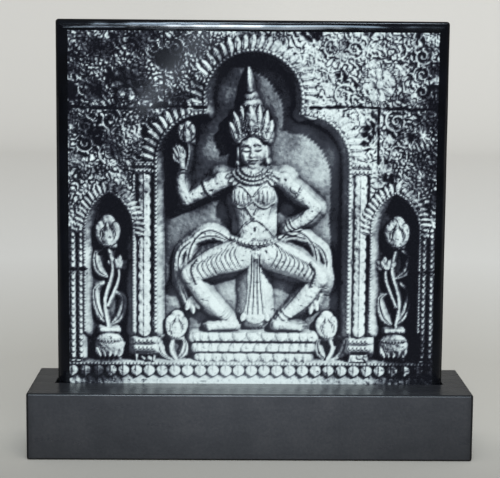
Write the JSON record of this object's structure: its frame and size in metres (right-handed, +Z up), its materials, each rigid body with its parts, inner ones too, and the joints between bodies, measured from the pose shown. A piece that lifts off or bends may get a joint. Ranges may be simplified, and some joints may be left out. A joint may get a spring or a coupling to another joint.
{
  "type": "picture plaque on a stand",
  "caption": "Square gloss black panel bearing a monochrome printed picture of a carved stone dancer, standing upright in a slotted matt black block.",
  "frame": {"origin": "on the surface that the plaque stands on, under the middle of the block", "axes": "+Z up, +X to the right as the picture is seen, and the picture faces -Y"},
  "size_m": [0.169, 0.0466, 0.1657],
  "materials": {
    "base_paint": "matt black paint",
    "panel_lacquer": "gloss black lacquer",
    "print_gloss": "gloss-coated monochrome photographic print"
  },
  "bodies": {
    "root": {"base": "base_paint", "panel": "panel_lacquer", "print": "print_gloss"}
  },
  "joints": []
}
